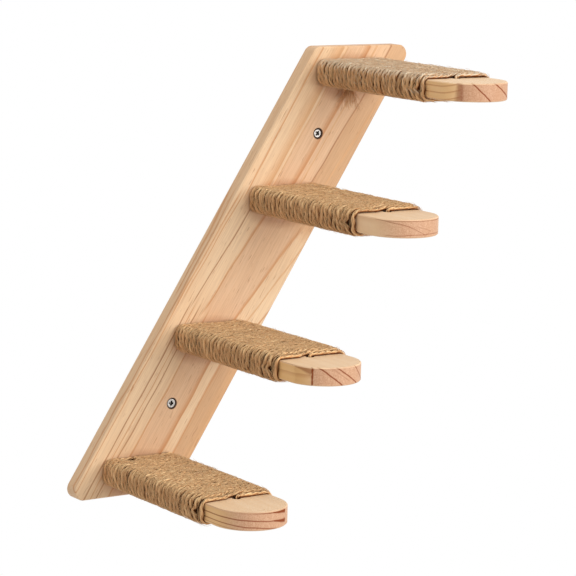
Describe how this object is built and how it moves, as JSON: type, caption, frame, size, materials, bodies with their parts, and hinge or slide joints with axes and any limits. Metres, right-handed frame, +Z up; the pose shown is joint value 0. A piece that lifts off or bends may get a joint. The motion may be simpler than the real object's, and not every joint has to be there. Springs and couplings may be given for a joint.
{
  "type": "wall mounted cat tree",
  "caption": "Wall-mounted cat ladder: a slanted pine backboard with horizontal plank steps, each wound with jute cord up to a bare rounded nose, held by countersunk screws.",
  "frame": {"origin": "midway between the two wall screws, on the back face of the board, which lies on the wall", "axes": "+X to the right, +Y into the wall, +Z up; the steps reach out towards -Y"},
  "size_m": [0.3932, 0.3091, 0.4466],
  "materials": {
    "pine_board": "oiled, matt",
    "pine_step": "sanded, matt",
    "beech_dowel": "raw",
    "jute_cord": "twisted natural fibre",
    "steel_screw": "zinc plated"
  },
  "bodies": {
    "root": {"backboard": "pine_board", "bottom_step_plank": "pine_step", "lower_step_plank": "pine_step", "upper_step_plank": "pine_step", "top_step_plank": "pine_step", "bottom_cord_winding": "jute_cord", "lower_cord_winding": "jute_cord", "upper_cord_winding": "jute_cord", "top_cord_winding": "jute_cord", "bottom_step_dowel_left": "beech_dowel", "bottom_step_dowel_right": "beech_dowel", "lower_step_dowel_left": "beech_dowel", "lower_step_dowel_right": "beech_dowel", "upper_step_dowel_left": "beech_dowel", "upper_step_dowel_right": "beech_dowel", "top_step_dowel_left": "beech_dowel", "top_step_dowel_right": "beech_dowel", "upper_wall_screw": "steel_screw", "lower_wall_screw": "steel_screw"}
  },
  "joints": []
}
